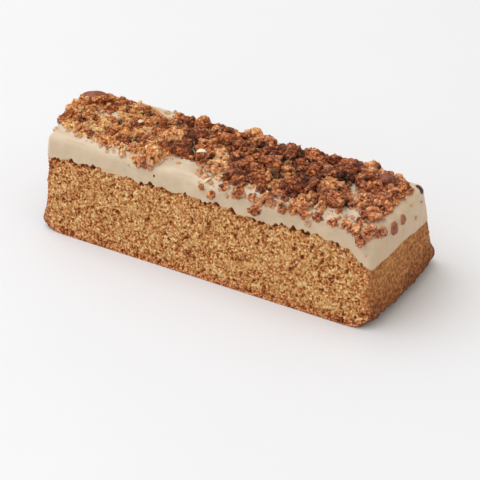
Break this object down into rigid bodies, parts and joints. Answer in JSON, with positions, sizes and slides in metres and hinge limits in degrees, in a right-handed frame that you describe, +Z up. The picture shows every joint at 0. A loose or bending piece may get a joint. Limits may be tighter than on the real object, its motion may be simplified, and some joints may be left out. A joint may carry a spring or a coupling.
{
  "type": "baumkuchen bar",
  "caption": "Bar of sponge cake with open cut long faces, a dipped cream-coloured coat over the top and a crumble topping, lying on its flat base.",
  "frame": {"origin": "middle of the flat base the bar lies on", "axes": "+X along the bar towards the end that shows, -Y out of the cut face that shows, +Z up through the crumble"},
  "size_m": [0.1164, 0.0448, 0.0354],
  "materials": {
    "sponge": "matt open crumb, golden brown on the cut faces and darker brown on the baked ends and foot",
    "coat": "set sugar coat, beige cream, softly glossy, with crumble stuck on",
    "crumble": "baked caramel crumble, amber to dark brown, rough with sugary glints",
    "nut": "smooth roasted nut kernel, semi-gloss"
  },
  "bodies": {
    "root": {"cake": "sponge", "icing": "coat"}
  },
  "joints": []
}
